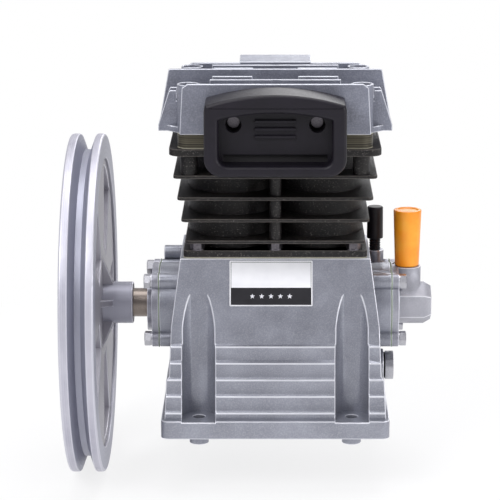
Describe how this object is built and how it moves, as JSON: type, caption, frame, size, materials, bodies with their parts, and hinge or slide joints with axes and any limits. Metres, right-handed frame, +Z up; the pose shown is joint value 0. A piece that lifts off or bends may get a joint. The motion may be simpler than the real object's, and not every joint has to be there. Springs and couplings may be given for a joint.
{
  "type": "air compressor pump head",
  "caption": "Belt driven twin cylinder reciprocating air pump: finned head and barrels on a cast crankcase, belt wheel on one side, oil filler on the other, air filter in front.",
  "frame": {"origin": "middle of the four mounting holes on the plane that the feet stand on", "axes": "+Z up along the cylinders, X along the crankshaft with the belt wheel at -X, the air intake faces -Y"},
  "size_m": [0.2756, 0.26, 0.3118],
  "materials": {
    "cast_case": "die cast, satin",
    "cast_head": "die cast, satin",
    "cast_cover": "die cast, satin",
    "black_iron": "sand cast, painted black",
    "gasket": "matt fibre",
    "valve_steel": "ground, oiled",
    "spring_steel": "polished strip",
    "dark_bolts": "blackened",
    "zinc_steel": "zinc plated",
    "bearing_steel": "ground",
    "shaft_steel": "turned",
    "ring_iron": "ground",
    "piston_alloy": "turned",
    "rod_alloy": "die cast",
    "wheel_alloy": "cast and turned",
    "blasted_alloy": "blasted",
    "filter_plastic": "moulded, satin",
    "filter_paper": "dark felt",
    "seal_rubber": "moulded",
    "lens_glass": "clear",
    "plate_white": "printed foil",
    "cap_plastic": "moulded, soft gloss",
    "breather_plastic": "moulded"
  },
  "bodies": {
    "pump": {"crankcase": "cast_case", "base_gasket": "gasket", "cylinder_block": "black_iron", "plate_gasket": "gasket", "valve_plate": "valve_steel", "suction_reeds": "spring_steel", "discharge_reeds": "spring_steel", "head_gasket": "gasket", "cylinder_head": "cast_head", "head_bolts": "dark_bolts", "block_bolts": "dark_bolts", "filter_base": "filter_plastic", "filter_element": "filter_paper", "filter_housing": "filter_plastic", "filter_screws": "dark_bolts", "left_cover": "cast_cover", "right_cover": "cast_cover", "left_cover_gasket": "gasket", "right_cover_gasket": "gasket", "left_cover_bolts": "zinc_steel", "right_cover_bolts": "zinc_steel", "left_bearing_outer_ring": "bearing_steel", "right_bearing_outer_ring": "bearing_steel", "left_bearing_balls": "bearing_steel", "right_bearing_balls": "bearing_steel", "shaft_seal": "seal_rubber", "sight_glass_ring": "zinc_steel", "sight_glass_lens": "lens_glass", "sight_glass_seal": "seal_rubber", "drain_plug": "zinc_steel", "filler_elbow": "blasted_alloy", "name_plate": "plate_white", "left_piston": "piston_alloy", "right_piston": "piston_alloy", "piston_rings": "ring_iron", "wrist_pins": "bearing_steel", "left_rod": "rod_alloy", "right_rod": "rod_alloy"},
    "crank": {"crankshaft": "shaft_steel", "left_bearing_inner_ring": "bearing_steel", "right_bearing_inner_ring": "bearing_steel", "flywheel": "wheel_alloy", "flywheel_key": "shaft_steel", "flywheel_washer": "zinc_steel", "flywheel_bolt": "zinc_steel"},
    "left_big_end": {"left_big_end": "rod_alloy", "left_rod_cap": "rod_alloy", "left_rod_bolts": "dark_bolts"},
    "right_big_end": {"right_big_end": "rod_alloy", "right_rod_cap": "rod_alloy", "right_rod_bolts": "dark_bolts"},
    "filler_cap": {"filler_cap": "cap_plastic"},
    "breather": {"breather": "breather_plastic"}
  },
  "joints": [
    {"name": "crank_turn", "type": "hinge", "parent": "pump", "child": "crank", "pos_m": [0, 0, 0.094], "axis": [1, 0, 0], "continuous": true},
    {"name": "left_big_end_turn", "type": "hinge", "parent": "crank", "child": "left_big_end", "pos_m": [-0.034, 0, 0.112], "axis": [1, 0, 0], "continuous": true},
    {"name": "right_big_end_turn", "type": "hinge", "parent": "crank", "child": "right_big_end", "pos_m": [0.034, 0, 0.112], "axis": [1, 0, 0], "continuous": true},
    {"name": "filler_cap_pull", "type": "slide", "parent": "pump", "child": "filler_cap", "axis": [0, 0, 1], "range_m": [0, 0.016]},
    {"name": "breather_pull", "type": "slide", "parent": "pump", "child": "breather", "axis": [0, 0, 1], "range_m": [0, 0.012]}
  ],
  "couplings": [
    {"joint": "left_big_end_turn", "follows": "crank_turn", "ratio": -1},
    {"joint": "right_big_end_turn", "follows": "crank_turn", "ratio": -1}
  ]
}
